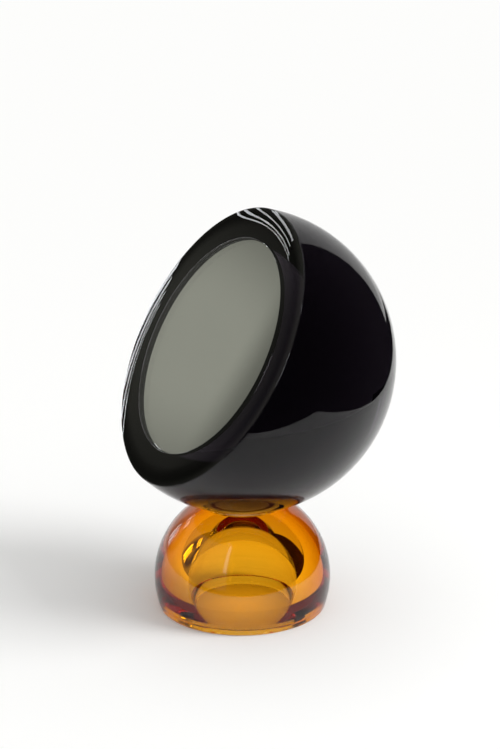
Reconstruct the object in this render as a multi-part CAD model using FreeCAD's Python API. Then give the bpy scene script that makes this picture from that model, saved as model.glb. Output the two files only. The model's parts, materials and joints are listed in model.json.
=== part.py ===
import FreeCAD, Part
import math
import os

# A table mirror in two pieces of glass: a solid smoked globe with one flat polished facet, and a thick hollow
# amber dome for a foot. A round mirror lies flush in the facet, and the globe turns in a shallow dish ground
# into the foot's top. Millimetres. The origin is the middle of the foot's underside, +Z is up, and the facet
# faces -Y.

# Driving dimensions of the globe.
GLOBE_RADIUS = 75.0
FACET_DISTANCE = 22.0        # from the globe's centre to the facet's plane
FACET_ELEVATION = 28.5       # of the facet's normal above the horizontal at rest, in degrees
FACET_EDGE_BREAK = 0.4       # polished bevel where the facet meets the sphere

# The mirror, from its front face inwards.
MIRROR_RADIUS = 55.7
MIRROR_EDGE_BEVEL = 0.4
MIRROR_GLASS_THICKNESS = 4.0
SILVERING_THICKNESS = 0.2
BACKING_THICKNESS = 0.2
ADHESIVE_THICKNESS = 0.6
SILVERING_MARGIN = 0.4       # bare glass left round the silvering and its paint
ADHESIVE_MARGIN = 1.5
RECESS_CLEARANCE = 0.2       # round the mirror in its recess

# The foot, a sphere cut off flat below, dished on top and hollow inside.
FOOT_RADIUS = 44.5
FOOT_CENTRE_HEIGHT = 14.7
FOOT_EDGE_BREAK = 0.8
CENTRE_DISTANCE = 111.75     # from the foot's sphere centre up to the globe's centre
HOLLOW_RADIUS = 27.2
HOLLOW_CENTRE_HEIGHT = 12.1
HOLLOW_LIP_HEIGHT = 1.6      # the straight wall where the hollow opens in the underside

# The thin clear ring that carries the globe, lying in the dish. Angles are from straight down, seen from the
# globe's centre, in degrees.
RING_GAP = 0.2               # between the ring and the globe, and under the ring
RING_THICKNESS = 0.5
RING_INNER_ANGLE = 11.0
RING_OUTER_ANGLE = 14.5

# Worked out from the dimensions above.
GLOBE_CENTRE_HEIGHT = FOOT_CENTRE_HEIGHT + CENTRE_DISTANCE
RECESS_DEPTH = MIRROR_GLASS_THICKNESS + SILVERING_THICKNESS + BACKING_THICKNESS + ADHESIVE_THICKNESS
RING_INNER_SPHERE = GLOBE_RADIUS + RING_GAP
RING_OUTER_SPHERE = RING_INNER_SPHERE + RING_THICKNESS
DISH_SPHERE = RING_OUTER_SPHERE + RING_GAP


def at(radius, height):
    """The point at a radius from the Z axis and a height, in the profile's plane."""
    return FreeCAD.Vector(radius, 0, height)


def on_circle(centre_height, radius, angle):
    """The point of a circle centred on the Z axis, at an angle from straight down."""
    turn = math.radians(angle)
    return at(radius * math.sin(turn), centre_height - radius * math.cos(turn))


def arc(centre_height, radius, start_angle, end_angle):
    """An arc of a circle centred on the Z axis, its angles measured from straight down."""
    start = on_circle(centre_height, radius, start_angle)
    middle = on_circle(centre_height, radius, (start_angle + end_angle) / 2)
    end = on_circle(centre_height, radius, end_angle)
    return Part.Arc(start, middle, end).toShape()


def lines(*points):
    """Straight edges from each point to the next."""
    return [Part.makeLine(a, b) for a, b in zip(points, points[1:])]


def turned(edges):
    """The solid that a closed profile sweeps in one turn about the Z axis."""
    profile = Part.Face(Part.Wire(edges))
    return profile.revolve(FreeCAD.Vector(0, 0, 0), FreeCAD.Vector(0, 0, 1), 360)


def in_globe(shape):
    """Moves a shape made about the globe's centre, facing +Z, to its place in the tilted globe."""
    placed = shape.copy()
    placed.rotate(FreeCAD.Vector(0, 0, 0), FreeCAD.Vector(1, 0, 0), 90 - FACET_ELEVATION)
    placed.translate(FreeCAD.Vector(0, 0, GLOBE_CENTRE_HEIGHT))
    return placed


def globe():
    """The smoked glass globe: a sphere cut by the facet, with the mirror's recess in the facet."""
    bevel_height = FACET_DISTANCE - FACET_EDGE_BREAK
    bevel_angle = 90 + math.degrees(math.asin(bevel_height / GLOBE_RADIUS))
    facet_radius = math.sqrt(GLOBE_RADIUS**2 - FACET_DISTANCE**2) - FACET_EDGE_BREAK
    recess_radius = MIRROR_RADIUS + RECESS_CLEARANCE
    recess_floor = FACET_DISTANCE - RECESS_DEPTH
    sphere = arc(0, GLOBE_RADIUS, 0, bevel_angle)
    front = lines(
        on_circle(0, GLOBE_RADIUS, bevel_angle),
        at(facet_radius, FACET_DISTANCE),
        at(recess_radius, FACET_DISTANCE),
        at(recess_radius, recess_floor),
        at(0, recess_floor),
        at(0, -GLOBE_RADIUS),
    )
    return in_globe(turned([sphere] + front))


def mirror_glass():
    """The mirror's pane, flush with the facet, its front edge bevelled."""
    back = FACET_DISTANCE - MIRROR_GLASS_THICKNESS
    outline = lines(
        at(0, back),
        at(MIRROR_RADIUS, back),
        at(MIRROR_RADIUS, FACET_DISTANCE - MIRROR_EDGE_BEVEL),
        at(MIRROR_RADIUS - MIRROR_EDGE_BEVEL, FACET_DISTANCE),
        at(0, FACET_DISTANCE),
        at(0, back),
    )
    return in_globe(turned(outline))


def layer(radius, front, thickness):
    """A flat round layer behind the mirror's pane, its front face at a height along the facet's axis."""
    return in_globe(Part.makeCylinder(radius, thickness, at(0, front - thickness)))


def mirror_layers():
    """The silvering, its backing paint and the adhesive, stacked behind the pane."""
    coated_radius = MIRROR_RADIUS - SILVERING_MARGIN
    silvering_front = FACET_DISTANCE - MIRROR_GLASS_THICKNESS
    backing_front = silvering_front - SILVERING_THICKNESS
    adhesive_front = backing_front - BACKING_THICKNESS
    return {
        "mirror_silvering": layer(coated_radius, silvering_front, SILVERING_THICKNESS),
        "mirror_backing": layer(coated_radius, backing_front, BACKING_THICKNESS),
        "mirror_adhesive": layer(MIRROR_RADIUS - ADHESIVE_MARGIN, adhesive_front, ADHESIVE_THICKNESS),
    }


def seat_ring():
    """The clear ring between the foot and the globe, shaped to the globe's sphere."""
    inner_start = on_circle(GLOBE_CENTRE_HEIGHT, RING_INNER_SPHERE, RING_INNER_ANGLE)
    inner_end = on_circle(GLOBE_CENTRE_HEIGHT, RING_INNER_SPHERE, RING_OUTER_ANGLE)
    outer_start = on_circle(GLOBE_CENTRE_HEIGHT, RING_OUTER_SPHERE, RING_INNER_ANGLE)
    outer_end = on_circle(GLOBE_CENTRE_HEIGHT, RING_OUTER_SPHERE, RING_OUTER_ANGLE)
    edges = [
        arc(GLOBE_CENTRE_HEIGHT, RING_INNER_SPHERE, RING_INNER_ANGLE, RING_OUTER_ANGLE),
        Part.makeLine(inner_end, outer_end),
        arc(GLOBE_CENTRE_HEIGHT, RING_OUTER_SPHERE, RING_OUTER_ANGLE, RING_INNER_ANGLE),
        Part.makeLine(outer_start, inner_start),
    ]
    return turned(edges)


def foot():
    """The amber dome, hollow from below, with the globe's dish in its top."""
    along_axis = (CENTRE_DISTANCE**2 + FOOT_RADIUS**2 - DISH_SPHERE**2) / (2 * CENTRE_DISTANCE)
    rim_angle_foot = 180 - math.degrees(math.acos(along_axis / FOOT_RADIUS))
    rim_angle_dish = math.degrees(math.acos((CENTRE_DISTANCE - along_axis) / DISH_SPHERE))
    break_angle = math.degrees(math.acos((FOOT_CENTRE_HEIGHT - FOOT_EDGE_BREAK) / FOOT_RADIUS))
    face_radius = math.sqrt(FOOT_RADIUS**2 - FOOT_CENTRE_HEIGHT**2) - FOOT_EDGE_BREAK
    lip_angle = math.degrees(math.acos((HOLLOW_CENTRE_HEIGHT - HOLLOW_LIP_HEIGHT) / HOLLOW_RADIUS))
    lip_radius = HOLLOW_RADIUS * math.sin(math.radians(lip_angle))
    hollow_top = at(0, HOLLOW_CENTRE_HEIGHT + HOLLOW_RADIUS)
    edges = [
        Part.makeLine(at(lip_radius, 0), at(face_radius, 0)),
        Part.makeLine(at(face_radius, 0), on_circle(FOOT_CENTRE_HEIGHT, FOOT_RADIUS, break_angle)),
        arc(FOOT_CENTRE_HEIGHT, FOOT_RADIUS, break_angle, rim_angle_foot),
        arc(GLOBE_CENTRE_HEIGHT, DISH_SPHERE, rim_angle_dish, 0),
        Part.makeLine(at(0, GLOBE_CENTRE_HEIGHT - DISH_SPHERE), hollow_top),
        arc(HOLLOW_CENTRE_HEIGHT, HOLLOW_RADIUS, 180, lip_angle),
        Part.makeLine(at(lip_radius, HOLLOW_LIP_HEIGHT), at(lip_radius, 0)),
    ]
    return turned(edges)


def main():
    """Builds every piece and writes one STEP file for each."""
    os.makedirs("parts", exist_ok=True)
    pieces = {
        "foot": foot(),
        "seat_ring": seat_ring(),
        "globe": globe(),
        "mirror_glass": mirror_glass(),
    }
    pieces.update(mirror_layers())
    for node, shape in pieces.items():
        shape.exportStep("parts/" + node + ".step")
        print(node, "valid" if shape.isValid() else "INVALID", round(shape.Volume, 1), "mm3")


main()
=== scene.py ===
"""The looks of a table mirror: a smoked-glass globe with a mirror in its facet, on an amber glass foot."""

import json
import logging
import math
from dataclasses import dataclass, field
from enum import Enum

import bmesh
import bpy
from mathutils import Matrix, Vector


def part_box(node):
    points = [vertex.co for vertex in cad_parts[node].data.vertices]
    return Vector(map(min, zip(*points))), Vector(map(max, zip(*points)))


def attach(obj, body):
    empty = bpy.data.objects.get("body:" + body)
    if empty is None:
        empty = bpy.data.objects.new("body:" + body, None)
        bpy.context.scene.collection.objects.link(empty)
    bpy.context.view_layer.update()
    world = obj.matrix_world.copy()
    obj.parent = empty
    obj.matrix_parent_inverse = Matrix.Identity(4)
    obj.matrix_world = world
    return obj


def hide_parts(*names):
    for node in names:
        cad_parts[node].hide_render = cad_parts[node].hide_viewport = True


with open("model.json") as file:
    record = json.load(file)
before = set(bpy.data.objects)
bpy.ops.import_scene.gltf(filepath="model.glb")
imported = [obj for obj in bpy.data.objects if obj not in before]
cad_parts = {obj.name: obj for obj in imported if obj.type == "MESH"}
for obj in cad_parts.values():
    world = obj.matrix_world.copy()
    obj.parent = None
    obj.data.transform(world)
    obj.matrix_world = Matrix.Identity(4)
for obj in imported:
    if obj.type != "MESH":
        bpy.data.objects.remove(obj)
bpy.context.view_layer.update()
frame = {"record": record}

LOG = logging.getLogger("table_mirror")
MM = 0.001
SIDES = 224                       # flats round every turned piece
CREASE = math.radians(6.0)        # edges sharper than this stay crisp
BROKEN_EDGE = math.radians(25.0)  # edges sharper than this get a polished break
MERGE_DISTANCE = 0.002 * MM
CAMERA_AZIMUTH = 62.45            # the way the camera stands, round from -Y towards +X, in degrees
SKY_STRENGTH = 0.73
LIGHT_BOUNCES = 48                # enough for light to find its way through thick glass
RGB = tuple[float, float, float]
SPOT = tuple[float, float, float]


class Body(Enum):
    """The moving bodies of the mirror."""

    FOOT = "foot"
    SEAT = "seat"
    GLOBE = "globe"


class LampKind(Enum):
    """The kinds of lamp in the studio."""

    DISTANT = "SUN"
    PANEL = "AREA"
    BULB = "POINT"


# ---------------------------------------------------------------------------------------------------
# Finishes
# ---------------------------------------------------------------------------------------------------


class Nodes:
    """A small helper that adds and joins the nodes of one material."""

    def __init__(self, name: str) -> None:
        """Starts an empty material.

        Args:
            name: The material's name.
        """
        self.material = bpy.data.materials.new(name)
        self.material.use_nodes = True
        self.tree = self.material.node_tree
        self.tree.nodes.clear()
        self.output = self.tree.nodes.new("ShaderNodeOutputMaterial")

    def add(self, kind: str, **values: object) -> bpy.types.Node:
        """Adds a node.

        Args:
            kind: The node's type.
            **values: Input values by socket name, with underscores for spaces.

        Returns:
            The new node.
        """
        node = self.tree.nodes.new(kind)
        for key, value in values.items():
            node.inputs[key.replace("_", " ")].default_value = value
        return node

    def join(self, start: bpy.types.NodeSocket, end: bpy.types.NodeSocket) -> None:
        """Links an output socket to an input socket."""
        self.tree.links.new(start, end)

    def noise(self, scale: float, detail: float = 2.0) -> bpy.types.Node:
        """Adds a noise texture on the piece's own coordinates.

        Args:
            scale: Waves per metre.
            detail: Octaves of finer noise.

        Returns:
            The noise node.
        """
        place = self.add("ShaderNodeTexCoord")
        texture = self.add("ShaderNodeTexNoise", Scale=scale, Detail=detail)
        self.join(place.outputs["Object"], texture.inputs["Vector"])
        return texture

    def spread(self, source: bpy.types.NodeSocket, low: float, high: float) -> bpy.types.NodeSocket:
        """Maps a 0 to 1 value onto a range.

        Args:
            source: The value to map.
            low: The result at 0.
            high: The result at 1.

        Returns:
            The mapped value's socket.
        """
        ranger = self.add("ShaderNodeMapRange", To_Min=low, To_Max=high)
        self.join(source, ranger.inputs["Value"])
        return ranger.outputs["Result"]

    def vector_math(
        self, operation: str, first: bpy.types.NodeSocket, second: Vector | None = None,
    ) -> bpy.types.Node:
        """Adds a vector calculation.

        Args:
            operation: Its name.
            first: The vector it works on.
            second: A fixed second vector.

        Returns:
            The node.
        """
        node = self.add("ShaderNodeVectorMath")
        node.operation = operation
        self.join(first, node.inputs[0])
        if second is not None:
            node.inputs[1].default_value = second
        return node

    def fade(
        self, source: bpy.types.NodeSocket, start: float, end: float, first: float, last: float,
    ) -> bpy.types.NodeSocket:
        """Fades smoothly from one value to another.

        Args:
            source: The distance that the fade follows.
            start: Where it begins.
            end: Where it ends.
            first: The value up to its start.
            last: The value past its end.

        Returns:
            The faded value's socket.
        """
        ranger = self.add("ShaderNodeMapRange", From_Min=start, From_Max=end, To_Min=first, To_Max=last)
        ranger.interpolation_type = "SMOOTHSTEP"
        self.join(source, ranger.inputs["Value"])
        return ranger.outputs["Result"]

    def mix_colours(self, factor: bpy.types.NodeSocket, first: RGB, second: RGB) -> bpy.types.NodeSocket:
        """Mixes two colours.

        Args:
            factor: The share of the second colour.
            first: The colour at 0.
            second: The colour at 1.

        Returns:
            The mixed colour's socket.
        """
        mix = self.add("ShaderNodeMix")
        mix.data_type = "RGBA"
        mix.inputs["A"].default_value = (*first, 1.0)
        mix.inputs["B"].default_value = (*second, 1.0)
        self.join(factor, mix.inputs["Factor"])
        return mix.outputs["Result"]

    def card_light(self, glow: float | bpy.types.NodeSocket) -> bpy.types.NodeSocket:
        """Gives a card its own glow in reflections, and the sky's light for what the floor gathers.

        Args:
            glow: The card's own strength.

        Returns:
            The strength's socket.
        """
        path = self.add("ShaderNodeLightPath")
        mix = self.add("ShaderNodeMix", B=SKY_STRENGTH)
        self.join(path.outputs["Diffuse Depth"], mix.inputs["Factor"])
        if isinstance(glow, float):
            mix.inputs["A"].default_value = glow
        else:
            self.join(glow, mix.inputs["A"])
        return mix.outputs["Result"]


@dataclass(frozen=True)
class SolidGlass:
    """Polished solid glass, coloured through its depth."""

    name: str
    tint: RGB
    density: float
    index: float = 1.5
    waviness: float = 0.004      # strength of the polish's slow waves
    wave_scale: float = 14.0
    wave_height: float = 0.01    # metres
    haze: float = 0.012          # roughness of the faint marks that handling leaves
    mark_scale: float = 60.0

    def make(self) -> bpy.types.Material:
        """Builds the glass.

        Returns:
            The material.
        """
        nodes = Nodes(self.name)
        surface = nodes.add("ShaderNodeBsdfPrincipled", IOR=self.index, Transmission_Weight=1.0)
        surface.inputs["Base Color"].default_value = (1.0, 1.0, 1.0, 1.0)
        marks = nodes.noise(self.mark_scale, 4.0)
        nodes.join(nodes.spread(marks.outputs["Fac"], 0.0, self.haze), surface.inputs["Roughness"])
        waves = nodes.noise(self.wave_scale, 1.0)
        bump = nodes.add("ShaderNodeBump", Strength=self.waviness, Distance=self.wave_height)
        nodes.join(waves.outputs["Fac"], bump.inputs["Height"])
        nodes.join(bump.outputs["Normal"], surface.inputs["Normal"])
        depth = nodes.add("ShaderNodeVolumeAbsorption", Density=self.density)
        depth.inputs["Color"].default_value = (*self.tint, 1.0)
        nodes.join(surface.outputs["BSDF"], nodes.output.inputs["Surface"])
        nodes.join(depth.outputs["Volume"], nodes.output.inputs["Volume"])
        return nodes.material


@dataclass(frozen=True)
class Silver:
    """The mirror's reflecting coat, with a trace of cloudiness."""

    name: str = "silver_coat"
    colour: RGB = (0.93, 0.94, 0.92)
    cloud_scale: float = 25.0
    cloud_shade: float = 0.97    # how bright the coat is where it is cloudiest
    cloud_roughness: float = 0.01

    def make(self) -> bpy.types.Material:
        """Builds the coat.

        Returns:
            The material.
        """
        nodes = Nodes(self.name)
        surface = nodes.add("ShaderNodeBsdfPrincipled", Metallic=1.0)
        cloud = nodes.noise(self.cloud_scale, 3.0).outputs["Fac"]
        cloudy = tuple(self.cloud_shade * part for part in self.colour)
        nodes.join(nodes.mix_colours(cloud, self.colour, cloudy), surface.inputs["Base Color"])
        nodes.join(nodes.spread(cloud, 0.0, self.cloud_roughness), surface.inputs["Roughness"])
        nodes.join(surface.outputs["BSDF"], nodes.output.inputs["Surface"])
        return nodes.material


@dataclass(frozen=True)
class Coating:
    """An opaque coat or bond: paint or adhesive, with a fine uneven surface."""

    name: str
    colour: RGB
    roughness: float
    grain_scale: float = 900.0
    grain_lift: float = 1.6      # how much brighter the grain's palest specks are
    grain_spread: float = 0.2    # how far its roughness strays, as a share

    def make(self) -> bpy.types.Material:
        """Builds the coating.

        Returns:
            The material.
        """
        nodes = Nodes(self.name)
        surface = nodes.add("ShaderNodeBsdfPrincipled")
        grain = nodes.noise(self.grain_scale, 3.0).outputs["Fac"]
        pale = tuple(self.grain_lift * part for part in self.colour)
        nodes.join(nodes.mix_colours(grain, self.colour, pale), surface.inputs["Base Color"])
        low, high = (1.0 - self.grain_spread) * self.roughness, (1.0 + self.grain_spread) * self.roughness
        nodes.join(nodes.spread(grain, low, high), surface.inputs["Roughness"])
        nodes.join(surface.outputs["BSDF"], nodes.output.inputs["Surface"])
        return nodes.material


@dataclass(frozen=True)
class Glow:
    """A plain lit or dark card, seen only in reflections and through glass."""

    name: str
    colour: RGB
    strength: float

    def make(self) -> bpy.types.Material:
        """Builds the card's glow.

        Returns:
            The material.
        """
        nodes = Nodes(self.name)
        light = nodes.add("ShaderNodeEmission")
        light.inputs["Color"].default_value = (*self.colour, 1.0)
        nodes.join(nodes.card_light(self.strength), light.inputs["Strength"])
        nodes.join(light.outputs["Emission"], nodes.output.inputs["Surface"])
        return nodes.material


@dataclass(frozen=True)
class SoftPatch:
    """A pale wall with a dark frame round one softly lit patch; only reflections and glass show it."""

    middle: Vector
    shade_side: Vector           # the way towards the patch's shaded side
    name: str = "side_wall"
    colour: RGB = (1.0, 1.0, 0.86)
    strength: float = 0.222
    lit_radius: float = 0.08
    dark_radius: float = 0.38
    pale_radius: float = 0.60
    dark: float = 0.06
    surround: float = 0.33
    shade_start: float = 0.08
    shade_end: float = 0.145
    shaded_part: float = 0.35    # how much light is left on the shaded side

    def make(self) -> bpy.types.Material:
        """Builds the wall's glow.

        Returns:
            The material.
        """
        nodes = Nodes(self.name)
        place = nodes.add("ShaderNodeTexCoord")
        away = nodes.vector_math("SUBTRACT", place.outputs["Object"], self.middle)
        distance = nodes.vector_math("LENGTH", away.outputs["Vector"]).outputs["Value"]
        patch = nodes.fade(distance, self.lit_radius, self.dark_radius, self.strength, 0.0)
        side = nodes.vector_math("DOT_PRODUCT", away.outputs["Vector"], self.shade_side).outputs["Value"]
        shade = nodes.fade(side, self.shade_start, self.shade_end, 1.0, self.shaded_part)
        frame_light = nodes.fade(distance, self.dark_radius, self.pale_radius, self.dark, self.surround)
        glow = nodes.add("ShaderNodeMath")
        glow.operation = "MULTIPLY_ADD"
        for socket, source in zip(glow.inputs, (patch, shade, frame_light)):
            nodes.join(source, socket)
        light = nodes.add("ShaderNodeEmission")
        light.inputs["Color"].default_value = (*self.colour, 1.0)
        nodes.join(nodes.card_light(glow.outputs["Value"]), light.inputs["Strength"])
        nodes.join(light.outputs["Emission"], nodes.output.inputs["Surface"])
        return nodes.material


@dataclass(frozen=True)
class PaleFloor:
    """The pale matt floor."""

    name: str = "pale_floor"
    colour: RGB = (0.97, 0.97, 0.965)

    def make(self) -> bpy.types.Material:
        """Builds the floor's surface.

        Returns:
            The material.
        """
        nodes = Nodes(self.name)
        surface = nodes.add("ShaderNodeBsdfDiffuse")
        surface.inputs["Color"].default_value = (*self.colour, 1.0)
        nodes.join(surface.outputs["BSDF"], nodes.output.inputs["Surface"])
        return nodes.material


SMOKED_GLASS = SolidGlass("smoked_glass", tint=(0.26, 0.22, 0.28), density=60.0, index=1.37)
AMBER_GLASS = SolidGlass("amber_glass", tint=(0.976, 0.80, 0.0), density=125.0)
CLEAR_RING = SolidGlass("clear_ring", tint=(0.9, 0.9, 0.85), density=20.0, index=1.43, haze=0.15)
MIRROR_PANE = SolidGlass("mirror_pane", tint=(0.3, 0.75, 0.5), density=4.0)
SILVER = Silver()
BACKING_PAINT = Coating("backing_paint", (0.02, 0.02, 0.022), 0.5)
EDGE_SEAL = Coating("edge_seal", (0.010, 0.010, 0.011), 0.6)
BLACK_BOND = Coating("black_bond", (0.008, 0.008, 0.009), 0.7)


# ---------------------------------------------------------------------------------------------------
# Turned pieces
# ---------------------------------------------------------------------------------------------------


class Profile:
    """A profile drawn beside the Z axis, point by point, and turned about that axis into a solid."""

    def __init__(self, radius: float, height: float) -> None:
        """Starts the profile.

        Args:
            radius: Distance of the first point from the axis.
            height: Height of the first point.
        """
        self.bm = bmesh.new()
        self.tip = self.bm.verts.new((radius, 0.0, height))

    def line(self, radius: float, height: float) -> "Profile":
        """Draws a straight edge.

        Args:
            radius: Distance of its end from the axis.
            height: Height of its end.

        Returns:
            The profile.
        """
        end = self.bm.verts.new((radius, 0.0, height))
        self.bm.edges.new((self.tip, end))
        self.tip = end
        return self

    def arc(self, centre_height: float, degrees: float, steps: int) -> "Profile":
        """Draws an arc about a point of the axis.

        Args:
            centre_height: Height of the arc's centre.
            degrees: Turn, upwards and outwards from straight down.
            steps: Number of edges.

        Returns:
            The profile.
        """
        swept = bmesh.ops.spin(
            self.bm, geom=[self.tip], cent=(0.0, 0.0, centre_height), axis=(0.0, -1.0, 0.0),
            angle=math.radians(degrees), steps=steps,
        )
        self.tip = next(v for v in swept["geom_last"] if isinstance(v, bmesh.types.BMVert))
        return self

    def turn(self, name: str, place: Matrix, edge_break: float = 0.0) -> bpy.types.Object:
        """Turns the profile into a closed solid with crisp, slightly broken edges.

        Args:
            name: The piece's name.
            place: Where the piece goes in the frame.
            edge_break: Width of the polished break along its sharp edges, in metres.

        Returns:
            The piece.
        """
        bm = self.bm
        bmesh.ops.spin(
            bm, geom=bm.verts[:] + bm.edges[:], cent=(0.0, 0.0, 0.0), axis=(0.0, 0.0, 1.0),
            angle=math.tau, steps=SIDES, use_merge=True,
        )
        bmesh.ops.remove_doubles(bm, verts=bm.verts[:], dist=MERGE_DISTANCE)
        bmesh.ops.recalc_face_normals(bm, faces=bm.faces[:])
        if edge_break:
            sharp = [e for e in bm.edges if e.is_manifold and e.calc_face_angle() > BROKEN_EDGE]
            bmesh.ops.bevel(
                bm, geom=sharp, offset=edge_break, offset_type="OFFSET", affect="EDGES", segments=2,
                profile=0.5, material=-1,
            )
        bmesh.ops.transform(bm, matrix=place, verts=bm.verts[:])
        return finished(bm, name)


def finished(bm: bmesh.types.BMesh, name: str) -> bpy.types.Object:
    """Makes a smooth-shaded object of a bmesh, with crisp creases.

    Args:
        bm: The bmesh, which is freed.
        name: The object's name.

    Returns:
        The object.
    """
    mesh = bpy.data.meshes.new(name)
    bm.to_mesh(mesh)
    bm.free()
    mesh.shade_smooth()
    mesh.set_sharp_from_angle(angle=CREASE)
    piece = bpy.data.objects.new(name, mesh)
    bpy.context.scene.collection.objects.link(piece)
    return piece


def dress(piece: bpy.types.Object, material: bpy.types.Material, body: Body, node: str) -> None:
    """Gives a piece its finish and its body, and hides the CAD node that it stands for.

    Args:
        piece: The piece.
        material: Its finish.
        body: The body that it moves with.
        node: The CAD node that it replaces.
    """
    piece.data.materials.append(material)
    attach(piece, body.value)
    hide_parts(node)
    LOG.info("%s: %d faces, rides on %s", piece.name, len(piece.data.polygons), body.value)


# ---------------------------------------------------------------------------------------------------
# The mirror's sub-assemblies
# ---------------------------------------------------------------------------------------------------


@dataclass
class GlobeFrame:
    """Where the globe is: its centre, its radius and the way its facet looks."""

    facet_elevation: float = 28.5    # degrees above the horizontal, at rest
    facet_distance: float = 22.0 * MM
    centre: Vector = field(init=False)
    radius: float = field(init=False)

    def __post_init__(self) -> None:
        """Reads the centre from the tilt joint and the radius from the globe's width."""
        tilt = next(j for j in frame["record"]["behaviour"]["joints"] if j["name"] == "globe_tilt")
        self.centre = Vector(tilt["pos_m"])
        low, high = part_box("globe")
        self.radius = min(-low[0], high[0])

    @property
    def place(self) -> Matrix:
        """The matrix from a piece made about the globe's centre, facing +Z, to the frame."""
        lean = Matrix.Rotation(math.radians(90.0 - self.facet_elevation), 4, "X")
        return Matrix.Translation(self.centre) @ lean


@dataclass
class Globe:
    """The smoked glass globe, cut by a flat polished facet with a recess for the mirror."""

    where: GlobeFrame
    recess_radius: float = 55.76 * MM
    recess_depth: float = 5.0 * MM
    roll_start: float = 62.0 * MM    # where polishing has begun to round the facet off
    roll_drop: float = 0.45 * MM     # how far the facet has sunk at its rim
    rim_break: float = 0.4 * MM
    edge_break: float = 0.08 * MM
    sphere_steps: int = 180
    roll_steps: int = 12

    def build(self) -> bpy.types.Object:
        """Turns the globe.

        Returns:
            The globe's piece.
        """
        radius, facet = self.where.radius, self.where.facet_distance
        edge = facet - self.roll_drop - self.rim_break
        rim = math.sqrt(radius**2 - edge**2) - self.rim_break
        outline = Profile(0.0, -radius)
        outline.arc(0.0, 90.0 + math.degrees(math.asin(edge / radius)), self.sphere_steps)
        for step in range(self.roll_steps, -1, -1):
            part = step / self.roll_steps
            outline.line(self.roll_start + part * (rim - self.roll_start), facet - self.roll_drop * part**2)
        outline.line(self.recess_radius, facet)
        outline.line(self.recess_radius, facet - self.recess_depth)
        outline.line(0.0, facet - self.recess_depth)
        piece = outline.turn("globe_glass", self.where.place, self.edge_break)
        dress(piece, SMOKED_GLASS.make(), Body.GLOBE, "globe")
        return piece


@dataclass
class MirrorStack:
    """The mirror in the globe's facet: its pane, silver, paint and bond."""

    where: GlobeFrame
    radius: float = 55.7 * MM
    pane: float = 4.0 * MM
    silver: float = 0.2 * MM
    paint: float = 0.2 * MM
    bond: float = 0.6 * MM
    coat_margin: float = 0.4 * MM
    bond_margin: float = 1.5 * MM
    film: float = 0.01 * MM          # air left between layers, so that no two faces coincide
    edge_break: float = 0.06 * MM
    side_facing: float = 0.5         # a face that looks less than this along the axis is the pane's side

    def disc(
        self, name: str, radius: float, front: float, thickness: float, edge_break: float = 0.0,
    ) -> bpy.types.Object:
        """Turns one round layer.

        Args:
            name: The piece's name.
            radius: Its radius.
            front: Height of its front face along the facet's axis.
            thickness: Its thickness.
            edge_break: Width of the break along its edges.

        Returns:
            The layer's piece.
        """
        outline = Profile(0.0, front - thickness).line(radius, front - thickness)
        outline.line(radius, front).line(0.0, front)
        return outline.turn(name, self.where.place, edge_break)

    def seal_edge(self, pane: bpy.types.Object, coated: float) -> None:
        """Blackens the pane's side and the bare rim of its back.

        Args:
            pane: The pane.
            coated: Radius of the silver on its back.
        """
        pane.data.materials.append(EDGE_SEAL.make())
        to_globe = self.where.place.inverted()
        for face in pane.data.polygons:
            facing = (to_globe.to_3x3() @ face.normal).z
            middle = to_globe @ face.center
            on_rim = facing < -self.side_facing and math.hypot(middle.x, middle.y) > coated
            if abs(facing) < self.side_facing or on_rim:
                face.material_index = 1

    def build(self) -> list[bpy.types.Object]:
        """Makes the four layers, from the front back.

        Returns:
            The layers' pieces.
        """
        front = self.where.facet_distance
        coated = self.radius - self.coat_margin
        outline = Profile(0.0, front - self.pane).line(coated, front - self.pane)
        outline.line(self.radius, front - self.pane).line(self.radius, front).line(0.0, front)
        pane = outline.turn("mirror_pane", self.where.place, self.edge_break)
        dress(pane, MIRROR_PANE.make(), Body.GLOBE, "mirror_glass")
        self.seal_edge(pane, coated)
        front -= self.pane + self.film
        silver = self.disc("silver_coat", coated, front, self.silver - self.film)
        dress(silver, SILVER.make(), Body.GLOBE, "mirror_silvering")
        front -= self.silver
        paint = self.disc("backing_paint", coated, front, self.paint - self.film)
        dress(paint, BACKING_PAINT.make(), Body.GLOBE, "mirror_backing")
        front -= self.paint
        bond = self.disc("mirror_bond", self.radius - self.bond_margin, front, self.bond + self.film)
        dress(bond, BLACK_BOND.make(), Body.GLOBE, "mirror_adhesive")
        return [pane, silver, paint, bond]


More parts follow.
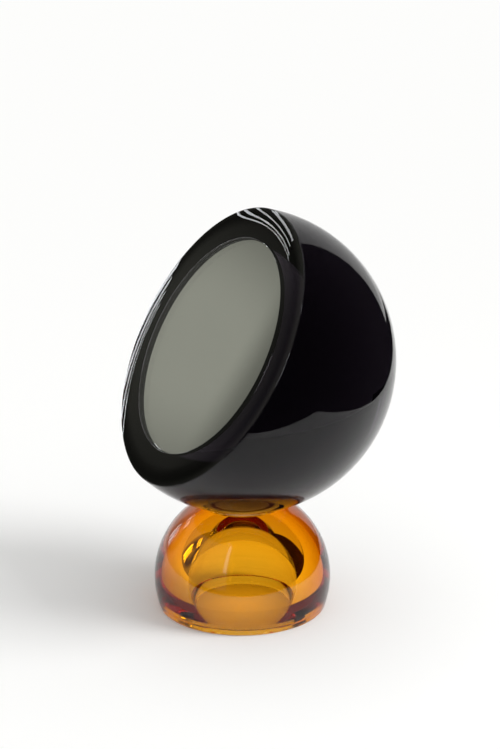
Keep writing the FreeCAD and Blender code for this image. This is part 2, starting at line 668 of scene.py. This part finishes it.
@dataclass
class Foot:
    """The amber glass dome, flat below, dished above and hollow inside."""

    where: GlobeFrame
    face_radius: float = 42.0 * MM
    dish_sphere: float = 75.9 * MM
    hollow_radius: float = 27.2 * MM
    hollow_height: float = 12.1 * MM     # of the hollow's centre
    lip: float = 1.6 * MM                # the straight wall where the hollow opens
    edge_break: float = 0.5 * MM
    hollow_steps: int = 96
    dome_steps: int = 120
    dish_steps: int = 32

    def build(self) -> bpy.types.Object:
        """Turns the foot.

        Returns:
            The foot's piece.
        """
        low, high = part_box("foot")
        radius = (high[0] - low[0]) / 2
        middle = math.sqrt(radius**2 - self.face_radius**2)
        centre = self.where.centre.z
        gap = centre - middle
        along = (gap**2 + radius**2 - self.dish_sphere**2) / (2 * gap)
        start = math.degrees(math.asin(self.face_radius / radius))
        rim = 180.0 - math.degrees(math.acos(along / radius))
        dish_rim = math.degrees(math.acos((gap - along) / self.dish_sphere))
        lip_angle = math.degrees(math.acos((self.hollow_height - self.lip) / self.hollow_radius))
        outline = Profile(0.0, self.hollow_height + self.hollow_radius)
        outline.arc(self.hollow_height, lip_angle - 180.0, self.hollow_steps)
        outline.line(self.hollow_radius * math.sin(math.radians(lip_angle)), low[2])
        outline.line(self.face_radius, low[2])
        outline.arc(middle, rim - start, self.dome_steps)
        outline.arc(centre, -dish_rim, self.dish_steps)
        piece = outline.turn("amber_foot", Matrix.Identity(4), self.edge_break)
        dress(piece, AMBER_GLASS.make(), Body.FOOT, "foot")
        return piece


@dataclass
class SeatRing:
    """The thin clear ring that the globe rests on, curved to fit it."""

    where: GlobeFrame
    inner_sphere: float = 75.2 * MM
    outer_sphere: float = 75.7 * MM
    inner_angle: float = 11.0
    outer_angle: float = 14.5
    edge_break: float = 0.1 * MM
    arc_steps: int = 16

    def build(self) -> bpy.types.Object:
        """Turns the ring.

        Returns:
            The ring's piece.
        """
        centre = self.where.centre.z
        span = self.outer_angle - self.inner_angle
        inner_start = self.point(self.inner_sphere, self.inner_angle)
        outline = Profile(*inner_start)
        outline.arc(centre, span, self.arc_steps)
        outline.line(*self.point(self.outer_sphere, self.outer_angle))
        outline.arc(centre, -span, self.arc_steps)
        outline.line(*inner_start)
        piece = outline.turn("clear_seat_ring", Matrix.Identity(4), self.edge_break)
        dress(piece, CLEAR_RING.make(), Body.SEAT, "seat_ring")
        return piece

    def point(self, sphere: float, degrees: float) -> tuple[float, float]:
        """The radius and height of a point under the globe.

        Args:
            sphere: Its distance from the globe's centre.
            degrees: Its angle from straight down.

        Returns:
            Distance from the axis, and height.
        """
        turn = math.radians(degrees)
        return sphere * math.sin(turn), self.where.centre.z - sphere * math.cos(turn)


# ---------------------------------------------------------------------------------------------------
# The studio
# ---------------------------------------------------------------------------------------------------


@dataclass(frozen=True)
class Span:
    """A part of the curved wall that stands round the mirror."""

    start: float                 # in degrees to the camera's right of straight away from it
    end: float
    low: float                   # heights, in metres
    high: float


@dataclass(frozen=True)
class Lamp:
    """A lamp whose own shape no glass shows, placed in the camera's directions, +Y away from it."""

    name: str
    kind: LampKind
    power: float
    place: SPOT
    aim: SPOT = (0.0, 0.0, 0.0)

    def hang(self, turn: Matrix) -> bpy.types.Light:
        """Hangs the lamp.

        Args:
            turn: The turn from the camera's directions to the frame.

        Returns:
            The lamp's own settings.
        """
        light = bpy.data.lights.new(self.name, self.kind.value)
        light.energy = self.power
        holder = bpy.data.objects.new(self.name, light)
        holder.location = turn @ Vector(self.place)
        holder.rotation_mode = "QUATERNION"
        holder.rotation_quaternion = (holder.location - turn @ Vector(self.aim)).to_track_quat("Z", "Y")
        holder.visible_glossy = False
        holder.visible_transmission = False
        bpy.context.scene.collection.objects.link(holder)
        return light


@dataclass
class Studio:
    """A pale floor and soft light, with dark and pale cards seen only in reflections and through glass."""

    floor_size: float = 30.0
    floor_drop: float = 0.05 * MM
    card_height: float = 0.5 * MM    # of the flat cards over the floor
    sheet_front: float = 0.21        # how far the pale sheet under the mirror reaches towards the camera
    sheet_side: float = 0.26         # how far it reaches to the camera's right
    sheet_lean: float = 0.2          # how much it widens to the right, away from the camera
    room_radius: float = 2.0
    wall_steps: int = 48
    dark_room: Span = Span(37.0, 200.0, 0.0, 5.0)
    side_wall: Span = Span(-95.0, -35.0, 0.0, 5.0)
    left_wall: Span = Span(-160.0, -95.0, 0.0, 5.0)
    far_window: Span = Span(-158.0, -153.0, 0.8, 4.5)
    patch_azimuth: float = -54.0
    patch_height: float = 0.57
    shade_rise: float = 0.35         # how much the patch's shade also follows its height
    strip_depth: float = 0.01        # how far the windows stand in front of the walls
    bar_reach: tuple[float, float] = (-54.5, -42.0)
    bars: tuple[tuple[float, float], ...] = ((0.835, 0.845), (0.87, 0.885), (0.93, 0.945), (1.0, 1.03))
    post_reach: tuple[float, float] = (0.1, 0.56)
    posts: tuple[tuple[float, float], ...] = (
        (-51.3, -50.9), (-49.5, -48.6), (-47.0, -45.5), (-43.5, -41.5),
    )
    dark: Glow = Glow("dark_room", (1.0, 1.0, 1.0), 0.002)
    pale: Glow = Glow("pale_wall", (1.0, 1.0, 0.9), 0.33)
    window_light: Glow = Glow("window_light", (0.93, 0.96, 1.0), 6.0)
    far_light: Glow = Glow("far_light", (0.93, 0.96, 1.0), 2.5)
    sky_colour: RGB = (1.0, 1.0, 0.99)
    key: Lamp = Lamp("key_light", LampKind.DISTANT, 1.35, (1.0, -0.25, 0.9))
    key_softness: float = 28.0       # the key light's width, in degrees
    fill: Lamp = Lamp("fill_light", LampKind.PANEL, 0.45, (0.45, -0.15, 0.30), (0.09, -0.02, 0.0))
    fill_size: float = 0.3
    focus: Lamp = Lamp("focused_light", LampKind.BULB, 0.010, (0.0, 0.0, 24.0 * MM))
    focus_colour: RGB = (1.0, 0.5, 0.03)
    focus_size: float = 6.0 * MM

    def turned(self) -> Matrix:
        """The turn from the camera's own directions, +Y away from it, to the frame."""
        return Matrix.Rotation(math.radians(CAMERA_AZIMUTH), 4, "Z")

    def card(self, name: str, bm: bmesh.types.BMesh, glow: Glow | SoftPatch) -> bpy.types.Object:
        """Makes a card that is seen only in reflections and through glass.

        Args:
            name: The card's name.
            bm: Its shape, in the camera's directions.
            glow: Its surface.

        Returns:
            The card.
        """
        bmesh.ops.transform(bm, matrix=self.turned(), verts=bm.verts[:])
        card = finished(bm, name)
        card.data.materials.append(glow.make())
        card.visible_camera = False
        card.visible_diffuse = False
        card.visible_shadow = False
        return card

    def wall(self, name: str, span: Span, glow: Glow | SoftPatch, inset: float = 0.0) -> bpy.types.Object:
        """Makes an upright curved card round the mirror.

        Args:
            name: The card's name.
            span: Where it stands.
            glow: Its surface.
            inset: How far it hangs in from the room's wall.

        Returns:
            The card.
        """
        bm = bmesh.new()
        turn = math.radians(span.start)
        x, y = (self.room_radius - inset) * math.sin(turn), (self.room_radius - inset) * math.cos(turn)
        foot, head = bm.verts.new((x, y, span.low)), bm.verts.new((x, y, span.high))
        edge = bm.edges.new((foot, head))
        bmesh.ops.spin(
            bm, geom=[foot, head, edge], cent=(0.0, 0.0, 0.0), axis=(0.0, 0.0, -1.0),
            angle=math.radians(span.end - span.start), steps=self.wall_steps,
        )
        return self.card(name, bm, glow)

    def flat(
        self, name: str, x: tuple[float, float], y: tuple[float, float], glow: Glow | SoftPatch,
        lean: float = 0.0,
    ) -> bpy.types.Object:
        """Makes a flat card that lies just over the floor.

        Args:
            name: The card's name.
            x: Its reach to the camera's left and right.
            y: Its reach towards and away from the camera.
            glow: Its surface.
            lean: How much its sides lean to the right, away from the camera.

        Returns:
            The card.
        """
        bm = bmesh.new()
        bmesh.ops.create_grid(bm, x_segments=1, y_segments=1, size=0.5)
        bmesh.ops.scale(bm, vec=(x[1] - x[0], y[1] - y[0], 1.0), verts=bm.verts[:])
        middle = ((x[0] + x[1]) / 2, (y[0] + y[1]) / 2, self.card_height)
        bmesh.ops.translate(bm, vec=middle, verts=bm.verts[:])
        shear = Matrix.Identity(4)
        shear[0][1] = lean
        bmesh.ops.transform(bm, matrix=shear, verts=bm.verts[:])
        return self.card(name, bm, glow)

    def build(self) -> None:
        """Lays the floor, hangs the cards and lights the scene."""
        self.floor()
        self.walls()
        self.windows()
        self.light()

    def floor(self) -> None:
        """Lays the pale floor."""
        bm = bmesh.new()
        bmesh.ops.create_grid(bm, x_segments=1, y_segments=1, size=self.floor_size / 2)
        bmesh.ops.translate(bm, vec=(0.0, 0.0, -self.floor_drop), verts=bm.verts[:])
        floor = finished(bm, "floor")
        floor.data.materials.append(PaleFloor().make())

    def walls(self) -> None:
        """Lays dark cards round the pale sheet and stands dark and pale walls round them."""
        far = self.room_radius
        side_start = self.sheet_side + self.sheet_lean * self.sheet_front
        self.flat("dark_front", (-far, self.sheet_side), (-far, -self.sheet_front), self.dark)
        self.flat("dark_side", (side_start, far), (-far, far), self.dark, self.sheet_lean)
        self.wall("dark_room_wall", self.dark_room, self.dark)
        self.wall("side_wall", self.side_wall, self.side_patch())
        self.wall("pale_left_wall", self.left_wall, self.pale)

    def side_patch(self) -> SoftPatch:
        """Sets the lit patch on the side wall where the mirror shows it.

        Returns:
            The wall's surface.
        """
        turn = math.radians(self.patch_azimuth)
        middle = Vector((math.sin(turn), math.cos(turn), 0.0)) * self.room_radius
        middle.z = self.patch_height
        shade_side = Vector((-math.cos(turn), math.sin(turn), self.shade_rise))
        return SoftPatch(self.turned() @ middle, self.turned() @ shade_side)

    def windows(self) -> None:
        """Hangs the narrow bright strips that the facet's rim shows as lines."""
        for low, high in self.bars:
            self.wall("window_bar", Span(*self.bar_reach, low, high), self.window_light, self.strip_depth)
        for start, end in self.posts:
            self.wall("window_post", Span(start, end, *self.post_reach), self.window_light, self.strip_depth)
        self.wall("far_window", self.far_window, self.far_light, self.strip_depth)

    def light(self) -> None:
        """Sets the even sky, the key and fill lights, and the light that the dome gathers in its hollow."""
        world = bpy.data.worlds.new("studio_sky")
        bpy.context.scene.world = world
        world.use_nodes = True
        sky = world.node_tree.nodes["Background"]
        sky.inputs["Color"].default_value = (*self.sky_colour, 1.0)
        sky.inputs["Strength"].default_value = SKY_STRENGTH
        key = self.key.hang(self.turned())
        key.angle = math.radians(self.key_softness)
        fill = self.fill.hang(self.turned())
        fill.shape = "DISK"
        fill.size = self.fill_size
        focus = self.focus.hang(self.turned())
        focus.color = self.focus_colour
        focus.shadow_soft_size = self.focus_size


@dataclass
class Camera:
    """The camera, aimed from the globe's centre."""

    where: GlobeFrame
    pitch: float = 15.35
    distance: float = 750.0 * MM
    side_step: float = 3.854 * MM    # how far the globe's centre stands left of the picture's middle
    rise: float = 6.830 * MM         # and above it
    lens: float = 73.9

    def build(self) -> bpy.types.Object:
        """Places the camera.

        Returns:
            The camera.
        """
        turn, lean = math.radians(CAMERA_AZIMUTH), math.radians(self.pitch)
        back = Vector((math.sin(turn) * math.cos(lean), -math.cos(turn) * math.cos(lean), math.sin(lean)))
        look = back.to_track_quat("Z", "Y")
        right, up = look @ Vector((1.0, 0.0, 0.0)), look @ Vector((0.0, 1.0, 0.0))
        data = bpy.data.cameras.new("camera")
        data.lens = self.lens
        camera = bpy.data.objects.new("camera", data)
        camera.location = self.where.centre + back * self.distance + right * self.side_step - up * self.rise
        camera.rotation_mode = "QUATERNION"
        camera.rotation_quaternion = look
        bpy.context.scene.collection.objects.link(camera)
        bpy.context.scene.camera = camera
        return camera


def set_rendering() -> None:
    """Keeps the colours plain and lets light pass often enough through thick glass."""
    scene = bpy.context.scene
    scene.view_settings.view_transform = "Standard"
    scene.cycles.max_bounces = LIGHT_BOUNCES
    scene.cycles.transmission_bounces = LIGHT_BOUNCES
    scene.cycles.glossy_bounces = LIGHT_BOUNCES


def main() -> None:
    """Builds the studio and the mirror."""
    logging.basicConfig(level=logging.INFO, format="%(name)s: %(message)s")
    where = GlobeFrame()
    Camera(where).build()
    Studio().build()
    Foot(where).build()
    SeatRing(where).build()
    Globe(where).build()
    MirrorStack(where).build()
    set_rendering()


if __name__ == "__main__":
    main()
